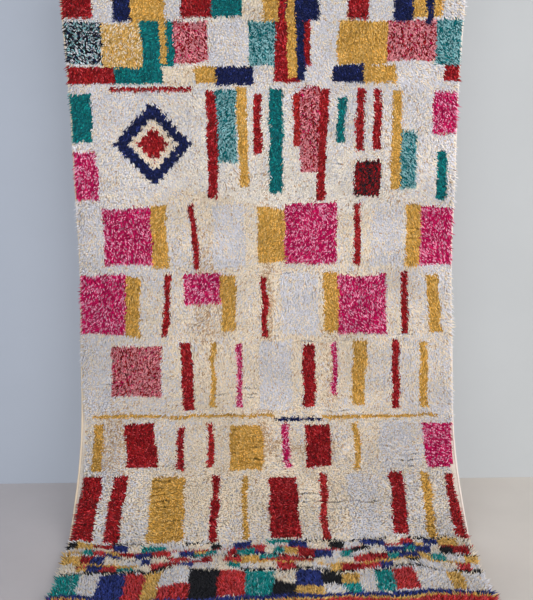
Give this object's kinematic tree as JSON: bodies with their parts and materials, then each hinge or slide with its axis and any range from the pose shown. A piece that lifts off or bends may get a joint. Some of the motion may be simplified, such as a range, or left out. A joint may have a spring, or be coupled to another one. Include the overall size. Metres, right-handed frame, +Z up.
{
  "type": "berber rug",
  "caption": "Shag wool rug hung by its top edge, falling in gentle waves, turning out at the foot and lying over the floor.",
  "frame": {"origin": "on the floor, in the middle of the rug's footprint", "axes": "+Z up, X across the rug's width, -Y towards the pile side and the floor hem"},
  "size_m": [1.5234, 0.8856, 2.0689],
  "materials": {
    "wool": "deep knotted wool pile, ivory with crimson, saffron, pink, teal and navy blocks"
  },
  "bodies": {
    "root": {"rug": "wool"}
  },
  "joints": []
}
